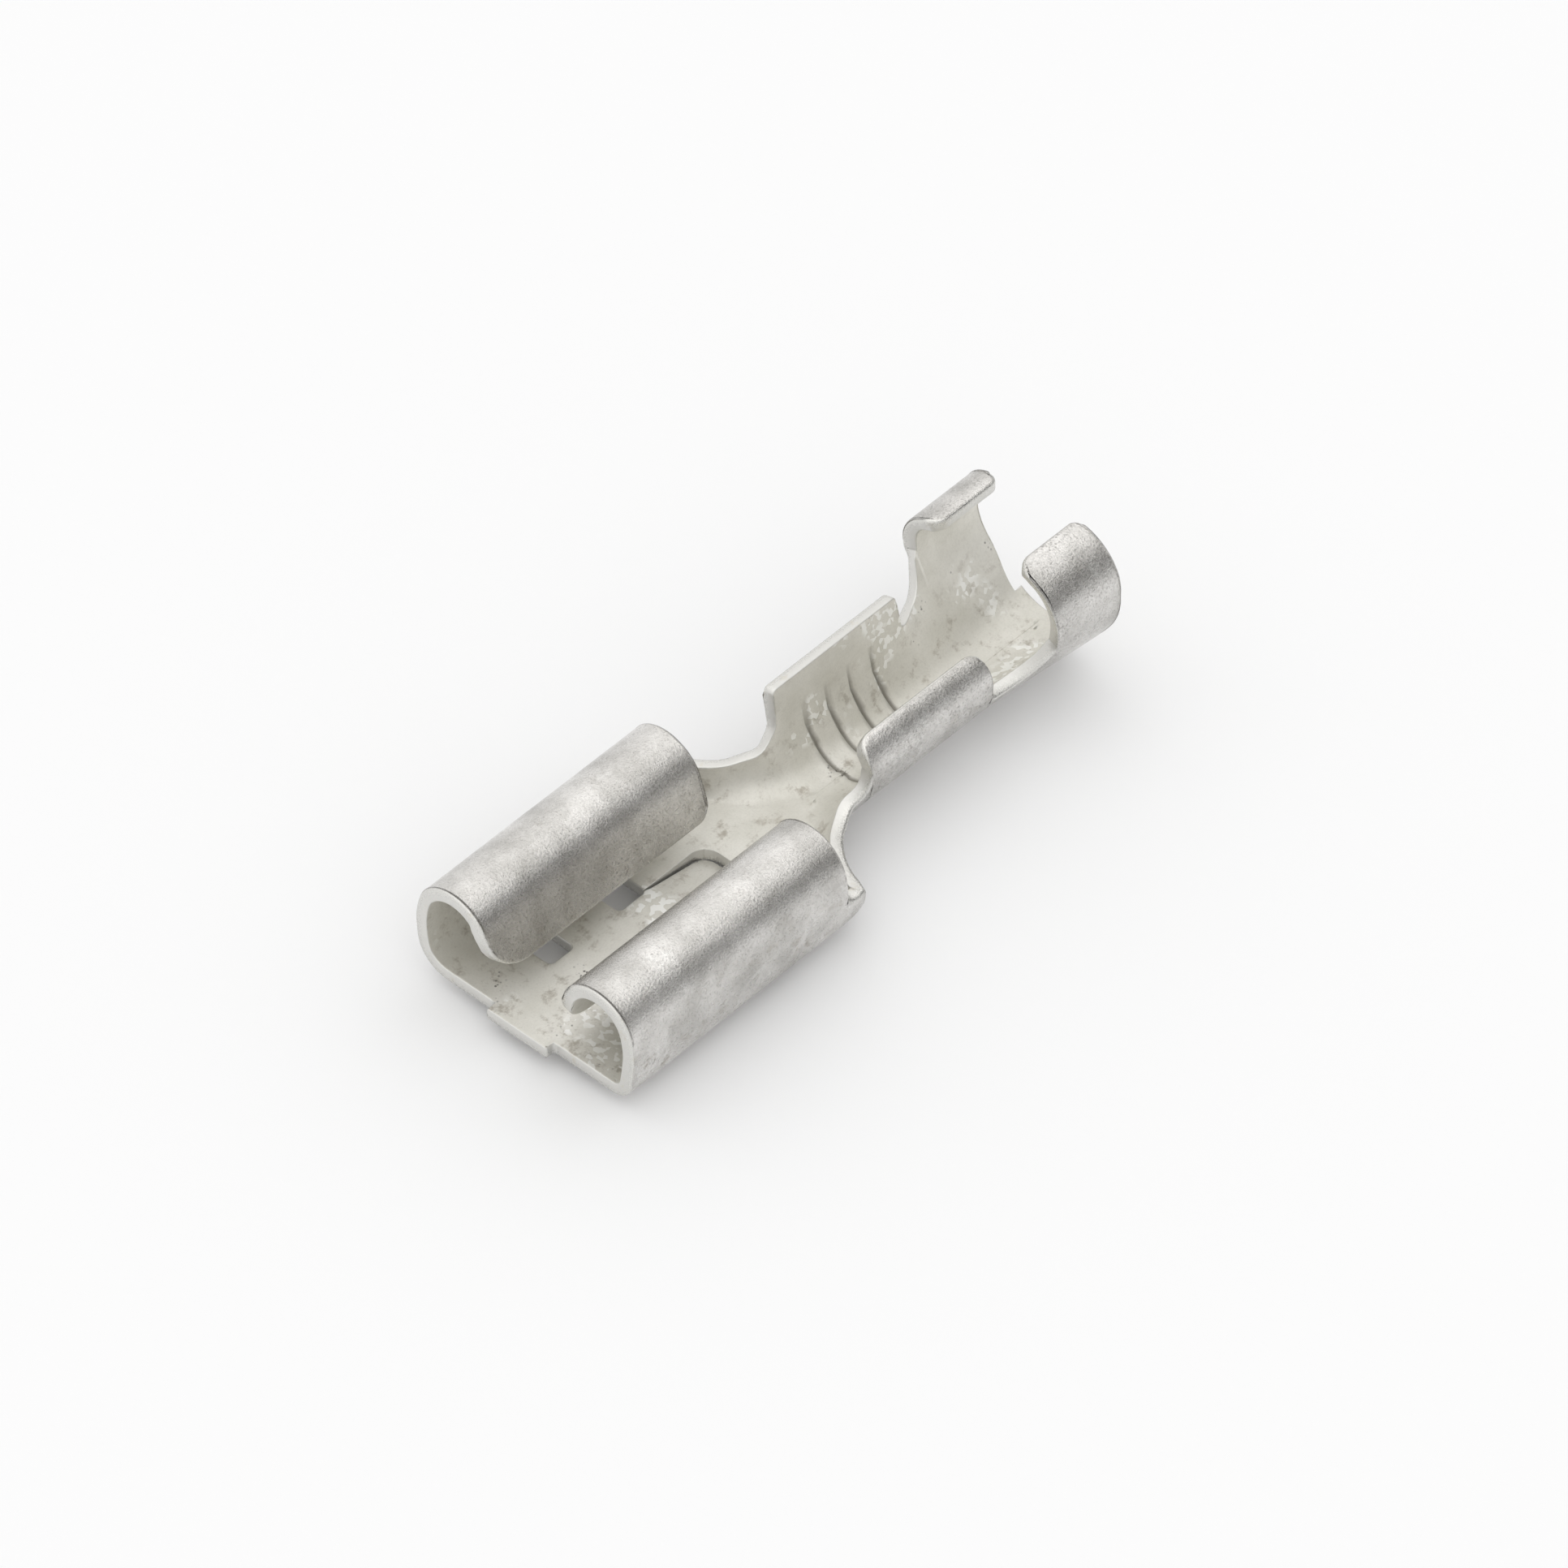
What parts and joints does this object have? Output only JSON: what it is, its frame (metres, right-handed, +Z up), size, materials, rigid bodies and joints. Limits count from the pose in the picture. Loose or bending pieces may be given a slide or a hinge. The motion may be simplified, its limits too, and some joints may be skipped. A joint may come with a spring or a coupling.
{
  "type": "female spade terminal",
  "caption": "Folded sheet female spade terminal: two rolls over a flat floor grip a male tab, a narrow neck leads to open wire crimp barrels.",
  "frame": {"origin": "middle of the mouth's edge, on the underside of the floor", "axes": "+X from the mouth towards the wire end, +Y to the left across the floor, +Z up from the underside of the floor"},
  "size_m": [0.0207, 0.0078, 0.005],
  "materials": {
    "tin_plated_brass": "satin tin plate over brass strip, bare brass showing faintly at the sheared edges"
  },
  "bodies": {
    "root": {"terminal": "tin_plated_brass"}
  },
  "joints": []
}
